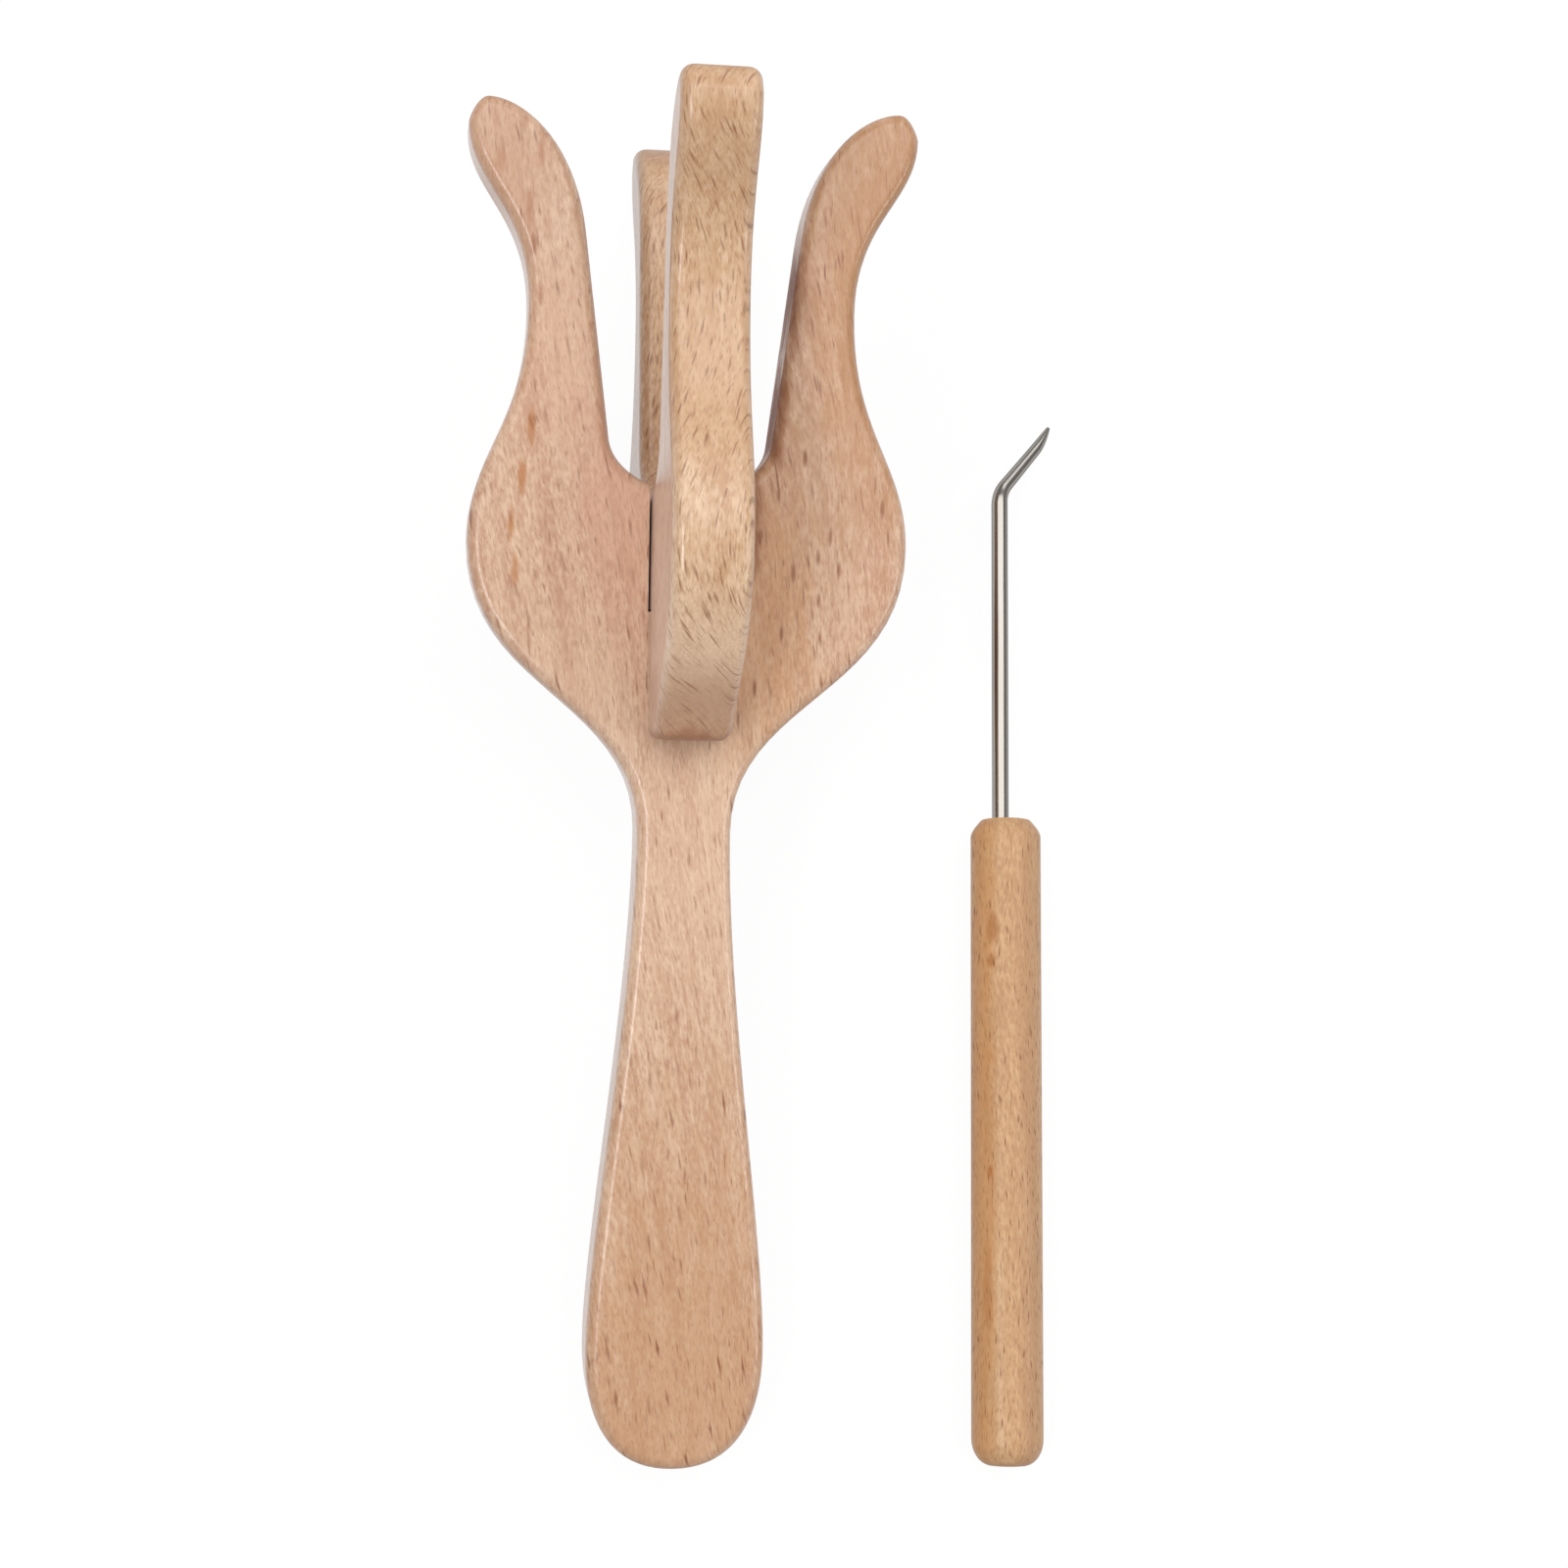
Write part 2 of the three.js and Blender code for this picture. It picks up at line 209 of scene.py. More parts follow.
def beech(name, place, tones, pith, slope, flecks, skin, patches, bare_and_painted_shade):
    """Planed beech, sanded and lacquered: tan, mottled finely along the board, with faint growth
    rings around the pith of the tree and short dark flecks on every side, where the thin ray
    sheets that run out from the pith come to the surface. The pattern is solid, so that it goes
    on round every edge. Sizes are in millimetres across the board, along its grain and through it.
    The tones are those of pale wood, deep wood, flecks and end grain. The pith is given across
    and through the board, and slope is the angle of the grain to the board. Flecks come in
    classes of (across, along, share left out, boldness), skin is how far the lacquer has built
    up a skin, patches are soft areas of another tone, some of them painted light and painted
    shade, and bare ones have no skin as well and mostly carry painted shade."""
    pale, deep, dark, end_grain = [linear(tone) for tone in tones]
    wood = bpy.data.materials.new(name)
    wood.use_nodes = True
    shader = wood.node_tree.nodes["Principled BSDF"]
    texture = add_node(wood, "ShaderNodeTexCoord", {})
    at, turn, scale = place.inverted().decompose()
    board = add_node(wood, "ShaderNodeMapping", {
        "Vector": texture.outputs["Object"],
        "Location": at, "Rotation": turn.to_euler(), "Scale": scale,
    })
    # The grain slopes a little to the board, and wanders a millimetre or two from straight.
    sloped = add_node(wood, "ShaderNodeVectorRotate", {
        "Vector": board.outputs["Vector"], "Angle": -math.radians(slope),
    }, rotation_type="Z_AXIS")
    slow = add_node(wood, "ShaderNodeVectorMath", {
        0: sloped.outputs["Vector"], 1: (1 / 28, 1 / 60, 1 / 28),
    }, operation="MULTIPLY")
    wander = add_node(wood, "ShaderNodeTexNoise", {
        "Vector": slow.outputs["Vector"], "Scale": 1, "Detail": 1,
    })
    sway = add_node(wood, "ShaderNodeVectorMath", {
        0: wander.outputs["Color"], 1: (7, 0, 7), 2: (-3.5, 0, -3.5),
    }, operation="MULTIPLY_ADD")
    grain = add_node(wood, "ShaderNodeVectorMath", {
        0: sloped.outputs["Vector"], 1: sway.outputs["Vector"],
    }, operation="ADD")

    # Broad streaks a few millimetres wide, with mottles of 0.4 by 1.5 mm, between two tones
    streak_at = add_node(wood, "ShaderNodeVectorMath", {
        0: grain.outputs["Vector"], 1: (1 / 3.5, 1 / 80, 1 / 3.5),
    }, operation="MULTIPLY")
    streaks = add_node(wood, "ShaderNodeTexNoise", {
        "Vector": streak_at.outputs["Vector"], "Scale": 1, "Detail": 4, "Roughness": 0.6,
    })
    mottle_at = add_node(wood, "ShaderNodeVectorMath", {
        0: grain.outputs["Vector"], 1: (1 / 0.4, 1 / 1.5, 1 / 0.6),
    }, operation="MULTIPLY")
    mottle = add_node(wood, "ShaderNodeTexNoise", {
        "Vector": mottle_at.outputs["Vector"], "Scale": 1, "Detail": 3, "Roughness": 0.6,
    })
    tone = add_node(wood, "ShaderNodeMix", {
        0: 0.58, 2: streaks.outputs["Fac"], 3: mottle.outputs["Fac"],
    })
    depth = add_node(wood, "ShaderNodeMapRange", {
        "Value": tone.outputs[0], "From Min": 0.41, "From Max": 0.6,
    })
    colour = add_node(wood, "ShaderNodeMix", {
        0: depth.outputs["Result"], 6: pale, 7: deep,
    }, data_type="RGBA")

    # Growth rings 1.8 mm apart, each a little deeper towards its sharp outer edge
    from_pith = add_node(wood, "ShaderNodeVectorMath", {
        0: grain.outputs["Vector"], 1: (pith[0], 0, pith[1]),
    }, operation="SUBTRACT")
    ring_at = add_node(wood, "ShaderNodeVectorMath", {
        0: from_pith.outputs["Vector"], 1: (1 / 1.8, 1 / 15, 1 / 1.8),
    }, operation="MULTIPLY")
    rings = add_node(wood, "ShaderNodeTexWave", {
        "Vector": ring_at.outputs["Vector"], "Scale": math.pi / 10, "Distortion": 3,
    }, wave_type="RINGS", rings_direction="Y", wave_profile="SAW")
    ring_shade = add_node(wood, "ShaderNodeMapRange", {
        "Value": rings.outputs["Fac"], "From Min": 0.6, "From Max": 1, "To Max": 0.3,
    })
    colour = add_node(wood, "ShaderNodeMix", {
        0: ring_shade.outputs["Result"], 6: colour.outputs[2], 7: deep,
    }, data_type="RGBA")

    # Patches of another tone, faded out unevenly from their middles. Some of them are painted light
    # and painted shade.
    cloud_at = add_node(wood, "ShaderNodeVectorMath", {
        0: grain.outputs["Vector"], 1: (1 / 1.6, 1 / 7, 1 / 1.6),
    }, operation="MULTIPLY")
    clouds = add_node(wood, "ShaderNodeTexNoise", {
        "Vector": cloud_at.outputs["Vector"], "Scale": 1, "Detail": 2,
    })
    skin_left = skin
    for middle, size, patch_tone, weight in patches + bare_and_painted_shade:
        away = add_node(wood, "ShaderNodeVectorMath", {
            0: board.outputs["Vector"], 1: middle,
        }, operation="SUBTRACT")
        shape = add_node(wood, "ShaderNodeVectorMath", {
            0: away.outputs["Vector"], 1: [1 / s for s in size],
        }, operation="MULTIPLY")
        reach = add_node(wood, "ShaderNodeVectorMath", {
            0: shape.outputs["Vector"],
        }, operation="LENGTH")
        edge = add_node(wood, "ShaderNodeMath", {
            0: clouds.outputs["Fac"], 1: 1.2, 2: reach.outputs["Value"],
        }, operation="MULTIPLY_ADD")
        patch = add_node(wood, "ShaderNodeMapRange", {
            "Value": edge.outputs["Value"], "From Min": 1.9, "From Max": 0.9, "To Max": weight,
        }, interpolation_type="SMOOTHSTEP")
        colour = add_node(wood, "ShaderNodeMix", {
            0: patch.outputs["Result"], 6: colour.outputs[2], 7: linear(patch_tone),
        }, data_type="RGBA")
        if (middle, size, patch_tone, weight) in bare_and_painted_shade:
            skin_left = add_node(wood, "ShaderNodeMath", {
                0: patch.outputs["Result"], 1: -skin, 2: skin_left,
            }, operation="MULTIPLY_ADD", use_clamp=True).outputs["Value"]

    # Fibres, 0.25 mm wide and 4 mm long
    fibre_at = add_node(wood, "ShaderNodeVectorMath", {
        0: grain.outputs["Vector"], 1: (1 / 0.25, 1 / 4, 1 / 0.25),
    }, operation="MULTIPLY")
    fibres = add_node(wood, "ShaderNodeTexNoise", {
        "Vector": fibre_at.outputs["Vector"], "Scale": 1, "Detail": 2, "Roughness": 0.6,
    })
    fibre_shade = add_node(wood, "ShaderNodeMapRange", {
        "Value": fibres.outputs["Fac"], "From Min": 0.35, "From Max": 0.65,
        "To Min": 0.35, "To Max": 0,
    })
    colour = add_node(wood, "ShaderNodeMix", {
        0: fibre_shade.outputs["Result"], 6: colour.outputs[2], 7: deep,
    }, data_type="RGBA")

    # Ray flecks: every sheet lies at one angle about the pith, so it is laid out by that angle, as
    # a width at the board's distance, and by the place along the grain. Each fleck is a soft
    # spindle in the middle of a stretched cell. The cells are shifted unevenly along the grain, so
    # that they make no rows.
    sides = add_node(wood, "ShaderNodeSeparateXYZ", {0: from_pith.outputs["Vector"]})
    angle = add_node(wood, "ShaderNodeMath", {
        0: sides.outputs["X"], 1: sides.outputs["Z"],
    }, operation="ARCTAN2")
    width = add_node(wood, "ShaderNodeMath", {
        0: angle.outputs["Value"], 1: math.hypot(*pith),
    }, operation="MULTIPLY")
    sheet = add_node(wood, "ShaderNodeCombineXYZ", {
        "X": width.outputs["Value"], "Y": sides.outputs["Y"],
    })
    shift_at = add_node(wood, "ShaderNodeVectorMath", {
        0: sheet.outputs["Vector"], 1: (1 / 1.3, 1 / 40, 0),
    }, operation="MULTIPLY")
    shift = add_node(wood, "ShaderNodeTexNoise", {
        "Vector": shift_at.outputs["Vector"], "Scale": 1, "Detail": 1,
    })
    shifted = add_node(wood, "ShaderNodeVectorMath", {
        0: shift.outputs["Color"], 1: (0, 16, 0), 2: sheet.outputs["Vector"],
    }, operation="MULTIPLY_ADD")
    for across, along, left_out, boldness in flecks:
        fleck_at = add_node(wood, "ShaderNodeVectorMath", {
            0: shifted.outputs["Vector"], 1: (1 / across, 1 / along, 0),
        }, operation="MULTIPLY")
        cells = add_node(wood, "ShaderNodeTexVoronoi", {
            "Vector": fleck_at.outputs["Vector"], "Scale": 1, "Randomness": 1,
        }, distance="MANHATTAN", voronoi_dimensions="2D")
        spindle = add_node(wood, "ShaderNodeMapRange", {
            "Value": cells.outputs["Distance"], "From Min": 0.32, "From Max": 0.08,
            "To Max": boldness,
        }, interpolation_type="SMOOTHSTEP")
        kept = add_node(wood, "ShaderNodeMapRange", {
            "Value": cells.outputs["Color"], "From Min": left_out, "From Max": left_out + 0.3,
        })
        strength = add_node(wood, "ShaderNodeMath", {
            0: spindle.outputs["Result"], 1: kept.outputs["Result"],
        }, operation="MULTIPLY")
        colour = add_node(wood, "ShaderNodeMix", {
            0: strength.outputs["Value"], 6: colour.outputs[2], 7: dark,
        }, data_type="RGBA")

    # End grain soaks up more lacquer and goes darker.
    along_grain = add_node(wood, "ShaderNodeVectorMath", {
        0: texture.outputs["Normal"], 1: (place.to_3x3() @ Vector((0, 1, 0))).normalized(),
    }, operation="DOT_PRODUCT")
    facing_end = add_node(wood, "ShaderNodeMath", {
        0: along_grain.outputs["Value"],
    }, operation="ABSOLUTE")
    end = add_node(wood, "ShaderNodeMapRange", {
        "Value": facing_end.outputs["Value"], "From Min": 0.62, "From Max": 0.95, "To Max": 0.6,
    }, interpolation_type="SMOOTHSTEP")
    colour = add_node(wood, "ShaderNodeMix", {
        0: end.outputs["Result"], 6: colour.outputs[2], 7: end_grain,
    }, data_type="RGBA")
    wood.node_tree.links.new(colour.outputs[2], shader.inputs["Base Color"])

    # Sanded and lacquered: dull fibres under a thin satin skin, which follows the sanding's soft
    # dips and is thinner on the open pores of the end grain
    roughness = add_node(wood, "ShaderNodeMapRange", {
        "Value": fibres.outputs["Fac"], "From Min": 0.3, "From Max": 0.7,
        "To Min": 0.45, "To Max": 0.6,
    })
    wood.node_tree.links.new(roughness.outputs["Result"], shader.inputs["Roughness"])
    skin_here = add_node(wood, "ShaderNodeMapRange", {
        "Value": facing_end.outputs["Value"], "From Min": 0.35, "From Max": 0.75,
        "To Min": skin_left, "To Max": 0.4 * skin,
    }, interpolation_type="SMOOTHSTEP")
    wood.node_tree.links.new(skin_here.outputs["Result"], shader.inputs["Coat Weight"])
    ridges = add_node(wood, "ShaderNodeBump", {
        "Height": fibres.outputs["Fac"], "Strength": 0.4, "Distance": 0.00004,
    })
    wood.node_tree.links.new(ridges.outputs["Normal"], shader.inputs["Normal"])
    dips = add_node(wood, "ShaderNodeBump", {
        "Height": mottle.outputs["Fac"], "Strength": 0.4, "Distance": 0.00005,
    })
    wood.node_tree.links.new(dips.outputs["Normal"], shader.inputs["Coat Normal"])
    shader.inputs["IOR"].default_value = 1.45
    shader.inputs["Specular IOR Level"].default_value = 0.1
    shader.inputs["Coat Roughness"].default_value = 0.25
    shader.inputs["Sheen Weight"].default_value = 0.15
    shader.inputs["Sheen Roughness"].default_value = 0.4
    shader.inputs["Sheen Tint"].default_value = linear("#CDC4E0")
    return wood


# Patches are given by their middle, their reach each way, their tone and its weight. Those of the
# fork plate are broad tones, one of them partly painted bounce light beside the cross plate, orange
# marks on its left shoulder, brown streaks on the left prong and bold flecks beside the cross plate.
broad_tones_and_painted_light = (
    # Paler and pinker beside the cross plate: partly the board's tone, partly painted bounce light
    # from its lit wall
    ((-8, 18, 0), (9, 26, 20), "#E2AE93", 0.5),
    ((-16, -12, 0), (9, 12, 20), "#F0CDB0", 0.4),
    ((11, 4, 0), (9, 30, 20), "#D39C63", 0.5),
    ((0, -122, 0), (22, 60, 20), "#C08F63", 0.6),
    ((0, -36, 0), (12, 24, 20), "#F0CDB0", 0.4),
    ((-29, 64, 0), (10, 24, 20), "#BF8E6C", 0.5),
    ((-20, 38, 0), (8, 16, 20), "#D5A586", 0.4),
    ((28, 50, 0), (17, 42, 20), "#AC7640", 0.75),
)
orange_marks = (
    ((-23.3, 26.2, 6), (0.6, 2.9, 3), "#B9722F", 0.8),
    ((-24.5, 19.2, 6), (0.6, 2.9, 3), "#B9722F", 0.85),
    ((-26.1, 12.4, 6), (0.6, 3, 3), "#B9722F", 0.75),
    ((-25.4, 5.5, 6), (0.6, 2.6, 3), "#B9722F", 0.65),
)
brown_streaks = (
    ((-22.4, 66.1, 6), (0.55, 3.2, 3), "#A9683A", 0.6),
    ((-24, 57.7, 6), (0.55, 3.4, 3), "#A9683A", 0.6),
    ((-23.4, 52.6, 6), (0.5, 1.6, 3), "#96552B", 0.7),
    ((-22.3, 45.3, 6), (0.5, 2.2, 3), "#A9683A", 0.6),
    ((-25, 70.1, 6), (0.8, 1.6, 3), "#A9683A", 0.5),
    ((-28.5, 64.3, 6), (1, 1.8, 3), "#B0703F", 0.45),
)
bold_flecks = tuple(
    ((across, along, 6), (0.38, 1.5, 3), "#8C5026", 0.85) for across, along in (
        (12.9, 17.4), (10.3, 11.2), (20.7, 11.5), (18.9, 8.4), (22, 6.8), (15.3, 6.1),
        (19.1, 2), (13.7, -2.9), (19.4, -3.2), (9.9, -10.9), (28.3, 15.9), (16.7, 22.8),
    )
)

# Bare of skin are the right prong's inner wall, with a pin knot, and the left wall of the slot.
# Both walls are also painted dark, as painted shade: the inner wall lies in the front prong's
# shadow, and the slot's wall in the slit.
bare_wood_and_painted_shade = (
    # Painted shade: the right prong's inner wall, dark in the front prong's shadow
    ((9.4, 14, 0), (2, 13, 8), "#84503A", 0.9),
    ((12.4, 29, 0), (2, 13, 8), "#84503A", 0.9),
    ((15.2, 45, 0), (2, 13, 8), "#84503A", 0.9),
    ((15.1, 49.9, 3), (0.4, 0.4, 0.4), "#3A2419", 0.9),
    # Painted shade: the slot's left wall, dark inside the slit
    ((-5.75, 12.5, 0), (0.3, 18, 9), "#4A2410", 0.9),
)
fork_plate.data.materials.clear()
fork_plate.data.materials.append(beech(
    "lacquered_beech_fork_plate", fork_place,
    tones=("#E9C9AC", "#C69A7E", "#864B2B", "#BD8C68"),
    pith=(40, -110),
    slope=8,
    flecks=((0.35, 2, 0.3, 0.3), (0.65, 5, 0.55, 0.55), (1.1, 8, 0.62, 0.8)),
    skin=1,
    patches=broad_tones_and_painted_light + orange_marks + brown_streaks + bold_flecks,
    bare_and_painted_shade=bare_wood_and_painted_shade,
))


# Cross plate: the short beech board with the fork's outline but no handle. It is slotted from its
# two legs up to the middle of the joint and glued over the long plate at a right angle, and gives
# the front and the back prong. It is a paler board, and has settled 1.4 degrees off square.
LEG_END_DOWN = 18.6
LEG_CORNER = 1.6
CROSS_TURN = math.radians(1.4)


def point_at(stretch, share):
    """The point at a share of the way along a stretch of the outline."""
    return upper_part(stretch, share)[0]


def upper_part(stretch, share):
    """What is left of a stretch of the outline above a share of its way."""
    a, b, c, d = stretch
    ab, bc, cd = a.lerp(b, share), b.lerp(c, share), c.lerp(d, share)
    abc, bcd = ab.lerp(bc, share), bc.lerp(cd, share)
    return [abc.lerp(bcd, share), bcd, cd, d]


# The leg is sawn off square where the outline has come down far enough, which halving finds, and
# its corner is rounded.
low, high = 0.0, 1.0
for _ in range(30):
    middle = (low + high) / 2
    if point_at(neck_to_bulge, middle).y < -LEG_END_DOWN:
        low = middle
    else:
        high = middle
leg_corner = point_at(neck_to_bulge, low)
stretch_length = sum(
    (point_at(neck_to_bulge, (i + 1) / 200) - point_at(neck_to_bulge, i / 200)).length
    for i in range(200)
)
leg_side = upper_part(neck_to_bulge, low + LEG_CORNER / stretch_length)
corner_start = leg_corner - Vector((LEG_CORNER, 0))
leg_bottom = Vector((0, -LEG_END_DOWN))
leg_end = [
    [leg_bottom, leg_bottom.lerp(corner_start, 1 / 3), leg_bottom.lerp(corner_start, 2 / 3),
     corner_start],
    [corner_start, corner_start.lerp(leg_corner, 2 / 3), leg_side[0].lerp(leg_corner, 2 / 3),
     leg_side[0]],
]

cross_plate = sawn_board("beech_cross_plate", leg_end + [leg_side] + prong_side)
half_slot = BOARD / 2 + JOINT_PLAY
sawn_slot(cross_plate, -half_slot, half_slot, -2 * LEG_END_DOWN, JOINT_PLAY)
upright = Matrix.Rotation(CROSS_TURN - math.radians(90), 4, "Y")
settle(cross_plate, fork_place @ upright, CREASE)
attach(cross_plate, "fork")
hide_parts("cross_plate")
cross_plate.data.materials.clear()
cross_plate.data.materials.append(beech(
    "lacquered_beech_cross_plate", fork_place,
    tones=("#E9C9A8", "#C79C78", "#84502E", "#B08664"),
    pith=(230, -164),
    slope=0,
    flecks=((0.34, 3, 0.1, 0.4), (0.62, 5.4, 0.25, 0.65)),
    skin=1,
    patches=(
        ((0, 70, 32), (20, 30, 14), "#C79C76", 0.4),
        # Painted light: the leg's front, which leans away from the lamps, is painted paler
        ((0, -10, 26), (20, 14, 14), "#F7D6B8", 0.7),
        # Painted shade: the front prong above the bulge, which leans towards the lamps, is painted
        # darker
        ((0, 32, 27), (20, 17, 12), "#C99E78", 0.5),
        # Painted light: the left side wall is painted pale, for the light it takes from the left and
        # the table
        ((-6.4, 2, 22), (1.8, 26, 18), "#FFE2CE", 1),
        ((0, 60, -32), (20, 40, 14), "#BE957A", 0.5),
        ((0, -15, 16), (20, 7, 14), "#C08E74", 0.5),
        # Painted shade and contact shadow at the leg's end, over its darker end grain
        ((0, -20, 14), (9, 3.4, 16), "#9A5A3C", 0.9),
    ),
    bare_and_painted_shade=(
        # Painted shade: the cross plate's side in the slot, dark inside the slit
        ((-5.9, 12.5, 0), (0.5, 18, 5), "#4A2410", 0.9),
    ),
))


# Hook handle: a beech dowel, turned down to a blunt slope at its mouth and rounded at its butt,
# with a blind bore a little off its middle that the needle is pressed and glued into.
def drawn_out(name, sides, rings):
    """A disc drawn out through rings of (middle, turn, radius), turned in the plane of the hook."""
    bpy.ops.object.select_all(action="DESELECT")
    middle, turn, radius = rings[0]
    bpy.ops.mesh.primitive_circle_add(
        vertices=sides, radius=radius, fill_type="NGON",
        location=middle.to_3d(), rotation=(math.radians(90), 0, 0),
    )
    drawn = bpy.context.object
    drawn.name = drawn.data.name = name
    bpy.ops.object.transform_apply(location=True, rotation=True, scale=True)
    bpy.ops.object.mode_set(mode="EDIT")
    bpy.ops.mesh.select_all(action="SELECT")
    for (was, turned, thick), (now, turning, thin) in zip(rings, rings[1:]):
        step = (now - was).to_3d()
        bpy.ops.mesh.extrude_region_move(TRANSFORM_OT_translate={"value": step})
        if turning != turned:
            bpy.ops.transform.rotate(
                value=turning - turned, orient_axis="Z", center_override=now.to_3d(),
            )
        if thin != thick:
            size = thin / thick
            bpy.ops.transform.resize(value=(size, size, size), center_override=now.to_3d())
    bpy.ops.mesh.select_all(action="SELECT")
    bpy.ops.mesh.normals_make_consistent(inside=False)
    bpy.ops.object.mode_set(mode="OBJECT")
    return drawn


DOWEL_RADIUS = 5.5
DOWEL_LENGTH = 99
BUTT_EASE_DEPTH = 3.1
BUTT_EASE_LENGTH = 4
MOUTH_EASE_DEPTH = 1.6
MOUTH_EASE_LENGTH = 2.6
MOUTH_STRAIGHT_SHARE = 0.67
BORE_OFFSET = 1.1
BORE_PLAY = 0.15
WIRE_RADIUS = 1.3
TANG_LENGTH = 24
HOOK_TURN = math.radians(-1.1)
HOOK_ROLL = math.radians(31.13)

butt_rings = []
for i in range(10):
    angle = math.radians(90 * i / 9)
    height = BUTT_EASE_LENGTH * (1 - math.cos(angle)) - DOWEL_LENGTH
    radius = DOWEL_RADIUS - BUTT_EASE_DEPTH * (1 - math.sin(angle))
    butt_rings.append((Vector((0, height)), 0, radius))
mouth_slope = [
    Vector((DOWEL_RADIUS, -MOUTH_EASE_LENGTH)),
    Vector((DOWEL_RADIUS, -MOUTH_EASE_LENGTH * MOUTH_STRAIGHT_SHARE)),
    Vector((DOWEL_RADIUS - MOUTH_EASE_DEPTH, 0)),
]
mouth_rings = []
for i in range(9):
    before = mouth_slope[0].lerp(mouth_slope[1], i / 8)
    after = mouth_slope[1].lerp(mouth_slope[2], i / 8)
    profile = before.lerp(after, i / 8)
    mouth_rings.append((Vector((0, profile.y)), 0, profile.x))
hook_handle = drawn_out("beech_hook_handle", 96, butt_rings + mouth_rings)
bpy.ops.object.select_all(action="DESELECT")
bpy.ops.mesh.primitive_cylinder_add(
    vertices=48, radius=WIRE_RADIUS + BORE_PLAY, depth=2 * (TANG_LENGTH + 1),
    location=(-BORE_OFFSET, 0, 0), rotation=(math.radians(90), 0, 0),
)
cut_away(hook_handle, bpy.context.object)

# The hook lies beside the fork, rolled over until its point rests on the table.
lowest, highest = (Vector(corner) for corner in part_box("hook_handle"))
swing = Matrix.Rotation(HOOK_TURN, 4, "Z")
roll = Matrix.Rotation(HOOK_ROLL, 4, "Y")
half_dowel = Vector((0, -DOWEL_LENGTH / 2, 0)) * MILLIMETRE
mouth_middle = (lowest + highest) / 2 - swing @ half_dowel
hook_place = Matrix.Translation(mouth_middle) @ swing @ roll @ Matrix.Scale(MILLIMETRE, 4)
settle(hook_handle, hook_place, CREASE)
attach(hook_handle, "hook")
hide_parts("hook_handle")
hook_handle.data.materials.clear()
hook_handle.data.materials.append(beech(
    "lacquered_beech_hook_handle", hook_place,
    tones=("#DCB58B", "#C2966E", "#7E4A28", "#BD8F66"),
    pith=(35, -30),
    slope=3,
    flecks=((0.3, 2.2, 0.3, 0.45), (0.5, 3.8, 0.5, 0.75)),
    skin=0.25,
    patches=(
        ((-5.5, -50, 0), (3, 110, 3), "#CE9158", 0.6),
        ((0, -50, 5.5), (2.6, 110, 2.4), "#B08566", 0.5),
        ((-5, -17.6, 2.4), (1.3, 2.6, 1.3), "#A9622C", 0.6),
        ((-5.1, -22.6, 2.2), (0.7, 1.1, 0.7), "#A9622C", 0.7),
        ((-5.3, -55, 1.8), (0.6, 1, 0.6), "#A9622C", 0.6),
        ((-5.4, -73, 1.3), (0.9, 7, 0.9), "#B06C34", 0.5),
    ),
    bare_and_painted_shade=(),
))


# Hook needle: drawn steel wire of 2.6 mm, bent once near its end, ground from the inside of the
# bend to a blunt point and polished lightly. Its tang sits in the dowel.
SHANK_LENGTH = 51.4
BEND_RADIUS = 5
BEND = math.radians(42.5)
BEND_END_RADIUS = 1.1
LEG_LENGTH = 15.2
POINT_LENGTH = 5
POINT_BASE = 0.95
POINT_RADIUS = 0.33
POINT_ROUND = 0.25
GRINDING_CURVE = 1.6

needle_rings = [
    (Vector((-BORE_OFFSET, -TANG_LENGTH)), 0, WIRE_RADIUS),
    (Vector((-BORE_OFFSET, 1)), 0, WIRE_RADIUS),
]
for i in range(13):
    turned = BEND * i / 12
    around = BEND_RADIUS * Vector((1 - math.cos(turned), math.sin(turned)))
    radius = WIRE_RADIUS + (BEND_END_RADIUS - WIRE_RADIUS) * i / 12
    needle_rings.append((Vector((-BORE_OFFSET, SHANK_LENGTH)) + around, turned, radius))
bend_end = needle_rings[-1][0]
heading = Vector((math.sin(BEND), math.cos(BEND)))
outside = Vector((-math.cos(BEND), math.sin(BEND)))
for i in range(11):
    share = i / 10
    radius = POINT_BASE + (POINT_RADIUS - POINT_BASE) * share ** GRINDING_CURVE
    reach = LEG_LENGTH - POINT_LENGTH * (1 - share) - POINT_ROUND
    needle_rings.append((
        bend_end + reach * heading + (POINT_BASE - radius) * outside, BEND, radius,
    ))
for forward, share in ((0.12, 0.88), (0.2, 0.66), (POINT_ROUND, 0.3)):
    middle = bend_end + (LEG_LENGTH - POINT_ROUND + forward) * heading
    needle_rings.append((middle + (POINT_BASE - POINT_RADIUS) * outside, BEND, share * POINT_RADIUS))
hook_needle = drawn_out("steel_hook_needle", 40, needle_rings)
settle(hook_needle, hook_place, 50)
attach(hook_needle, "hook")
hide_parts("hook_needle")

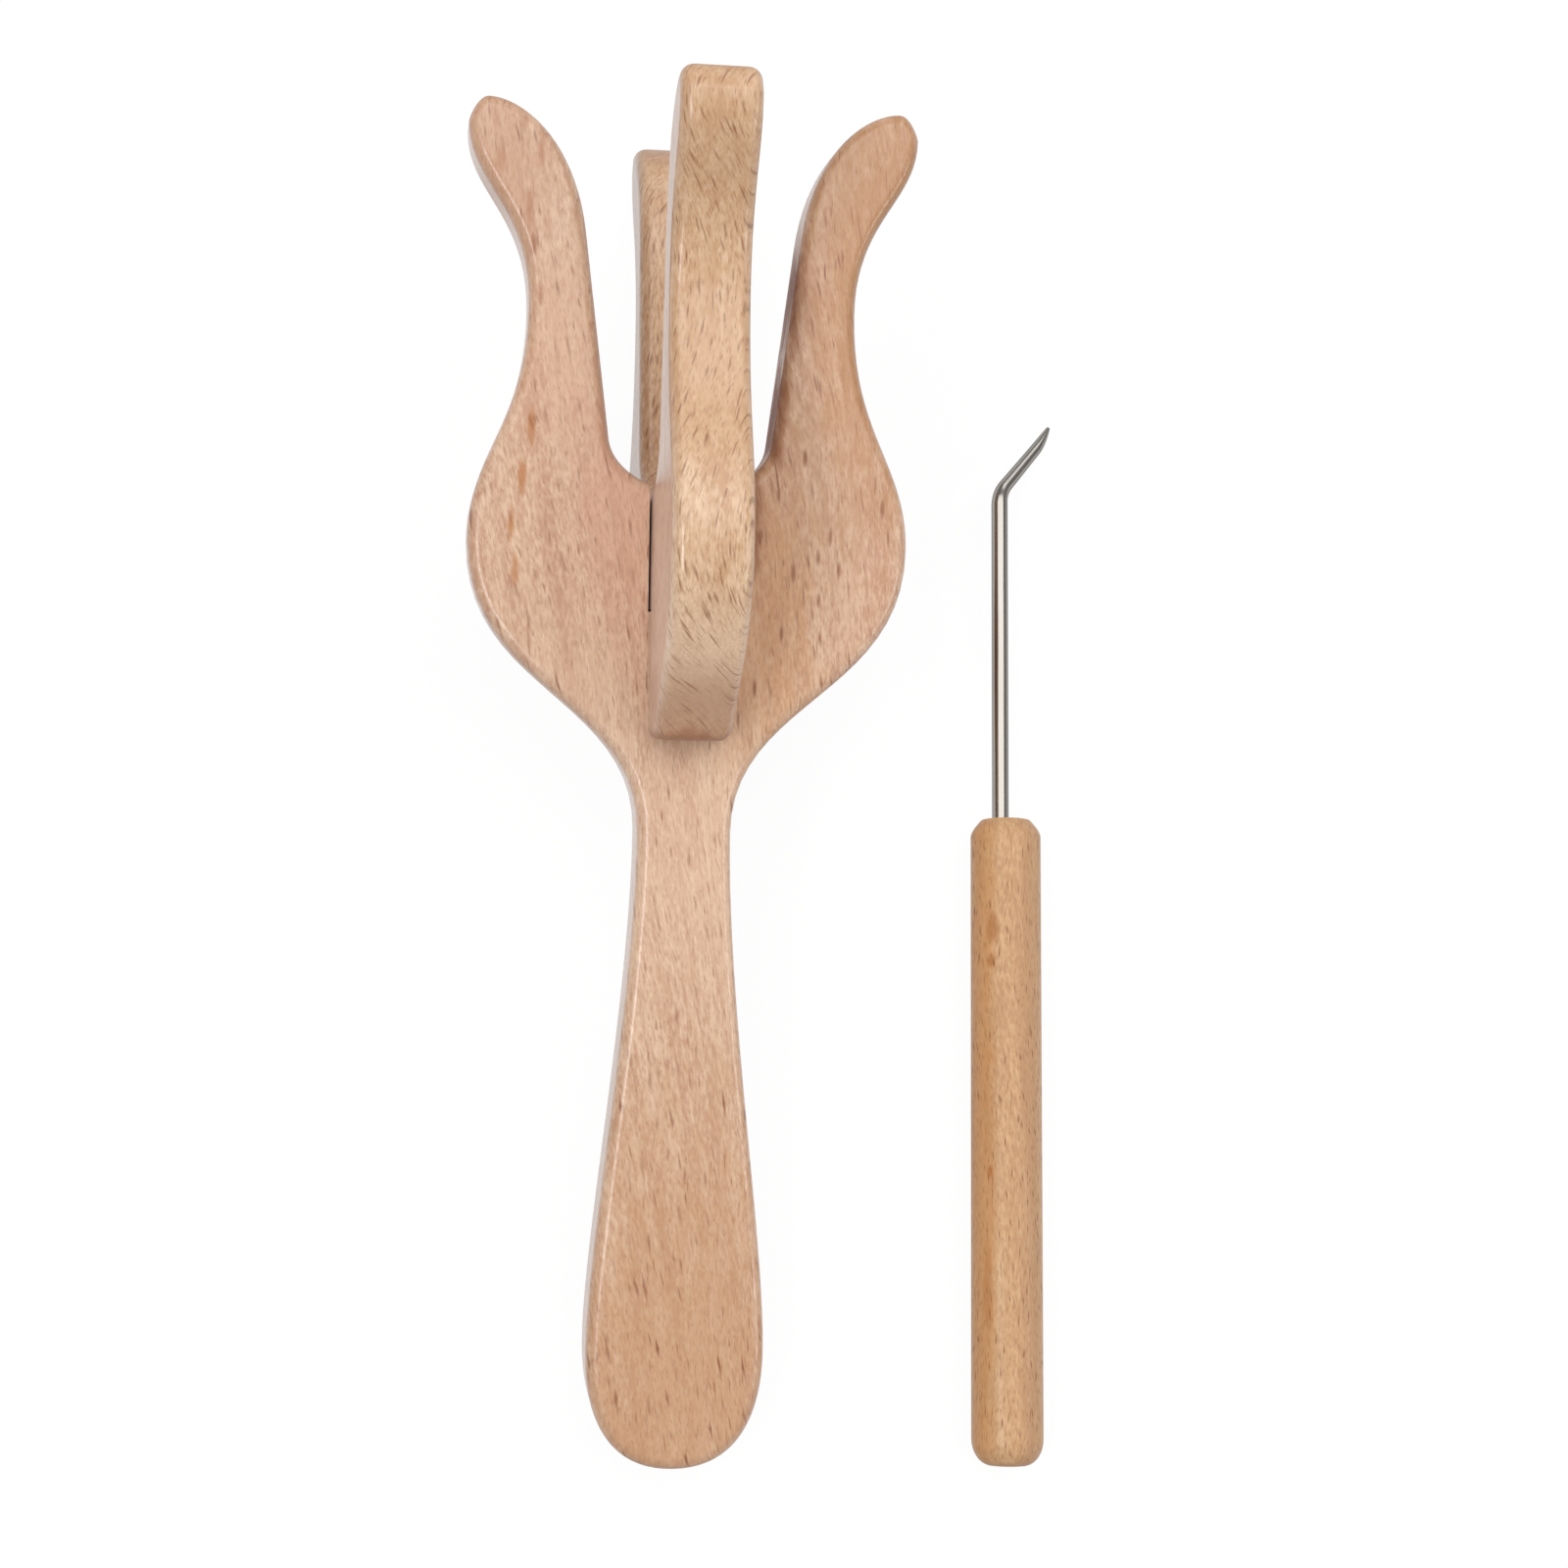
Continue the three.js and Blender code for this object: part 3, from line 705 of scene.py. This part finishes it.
# Drawn steel: a darkened mirror, blurred a little, with faint lines along the wire from the die
steel = bpy.data.materials.new("drawn_steel")
steel.use_nodes = True
steel_shader = steel.node_tree.nodes["Principled BSDF"]
steel_shader.inputs["Metallic"].default_value = 1
steel_shader.inputs["Specular Tint"].default_value = linear("#8C8C90")
texture = add_node(steel, "ShaderNodeTexCoord", {})
at, turn, scale = hook_place.inverted().decompose()
wire = add_node(steel, "ShaderNodeMapping", {
    "Vector": texture.outputs["Object"],
    "Location": at, "Rotation": turn.to_euler(), "Scale": scale,
})
line_at = add_node(steel, "ShaderNodeVectorMath", {
    0: wire.outputs["Vector"], 1: (1 / 0.12, 1 / 14, 1 / 0.12),
}, operation="MULTIPLY")
lines = add_node(steel, "ShaderNodeTexNoise", {
    "Vector": line_at.outputs["Vector"], "Scale": 1, "Detail": 2,
})
dulling = add_node(steel, "ShaderNodeMapRange", {
    "Value": lines.outputs["Fac"], "From Min": 0.3, "From Max": 0.7,
    "To Min": 0.14, "To Max": 0.24,
})
steel.node_tree.links.new(dulling.outputs["Result"], steel_shader.inputs["Roughness"])
tarnish_at = add_node(steel, "ShaderNodeVectorMath", {
    0: wire.outputs["Vector"], 1: (1 / 1.5, 1 / 8, 1 / 1.5),
}, operation="MULTIPLY")
tarnish = add_node(steel, "ShaderNodeTexNoise", {
    "Vector": tarnish_at.outputs["Vector"], "Scale": 1, "Detail": 3,
})
steel_colour = add_node(steel, "ShaderNodeMix", {
    0: tarnish.outputs["Fac"], 6: linear("#B0ACA6"), 7: linear("#A29D96"),
}, data_type="RGBA")
steel.node_tree.links.new(steel_colour.outputs[2], steel_shader.inputs["Base Color"])
scratches = add_node(steel, "ShaderNodeBump", {
    "Height": lines.outputs["Fac"], "Strength": 0.2, "Distance": 0.00001,
})
steel.node_tree.links.new(scratches.outputs["Normal"], steel_shader.inputs["Normal"])
hook_needle.data.materials.clear()
hook_needle.data.materials.append(steel)


# Table: a plain white surface. To the camera and in the steel it is mostly its own white light,
# and the rest of it keeps a faint shadow of the fork and the hook.
OWN_LIGHT = 0.85
bpy.ops.object.select_all(action="DESELECT")
bpy.ops.mesh.primitive_plane_add(size=8, location=(0, 0, -0.0001))
table = bpy.context.object
table.name = "table"
paper = bpy.data.materials.new("white_paper")
paper.use_nodes = True
matt = paper.node_tree.nodes["Principled BSDF"]
matt.inputs["Base Color"].default_value = linear("#BBBBBB")
matt.inputs["Roughness"].default_value = 1
matt.inputs["Specular IOR Level"].default_value = 0
ray = add_node(paper, "ShaderNodeLightPath", {})
seen = add_node(paper, "ShaderNodeMath", {
    0: ray.outputs["Is Camera Ray"], 1: ray.outputs["Is Glossy Ray"],
}, operation="MAXIMUM")
seen = add_node(paper, "ShaderNodeMath", {
    0: seen.outputs["Value"], 1: ray.outputs["Is Transmission Ray"],
}, operation="MAXIMUM")
share = add_node(paper, "ShaderNodeMath", {
    0: seen.outputs["Value"], 1: OWN_LIGHT,
}, operation="MULTIPLY")
white = add_node(paper, "ShaderNodeEmission", {"Color": (1, 1, 1, 1), "Strength": 1.1})
mixed = add_node(paper, "ShaderNodeMixShader", {
    0: share.outputs["Value"], 1: matt.outputs["BSDF"], 2: white.outputs["Emission"],
})
surface = paper.node_tree.nodes["Material Output"].inputs["Surface"]
paper.node_tree.links.new(mixed.outputs["Shader"], surface)
table.data.materials.append(paper)

# Studio: a dim even room, a large softbox overhead and a little behind the prongs, a weak one low
# at the back, which draws the line on the bent end of the wire, a strong and narrow one high on
# the left, which lights up the rounded edges, and a low one at the right.
world = bpy.data.worlds.new("pale_room")
bpy.context.scene.world = world
world.use_nodes = True
world.node_tree.nodes["Background"].inputs["Color"].default_value = (1, 0.995, 0.99, 1)
world.node_tree.nodes["Background"].inputs["Strength"].default_value = 0.3


def softbox(name, direction, distance, width, height, brightness):
    """A rectangular softbox that faces the object, of a given brightness over its face."""
    towards = Vector(direction).normalized()
    bpy.ops.object.light_add(
        type="AREA", location=distance * towards,
        rotation=towards.to_track_quat("Z", "Y").to_euler(),
    )
    lamp = bpy.context.object
    lamp.name = name
    lamp.data.shape = "RECTANGLE"
    lamp.data.size = width
    lamp.data.size_y = height
    lamp.data.energy = brightness * math.pi * width * height


softbox("softbox_over", (0.05, 0.3, 0.95), 1.6, 2.4, 1.2, 1.93)
softbox("softbox_back", (0.33, 0.81, 0.45), 1.0, 0.6, 0.34, 1.5)
softbox("softbox_left", (-0.5, -0.24, 0.83), 1.0, 0.5, 0.13, 14)
softbox("softbox_right", (0.82, -0.28, 0.49), 1.0, 0.5, 0.15, 6)

# Camera: above the fork and a little towards its handle and left, as the photograph looks at it,
# with a lens that gives the photograph's frame
bpy.ops.object.camera_add(
    location=(-0.05543, -0.06828, 0.42252),
    rotation=[math.radians(a) for a in (9.6116, -7.8685, -0.4858)],
)
camera = bpy.context.object
camera.data.lens = 62.66
camera.data.clip_start = 0.01
bpy.context.scene.camera = camera
bpy.context.scene.view_settings.view_transform = "Standard"
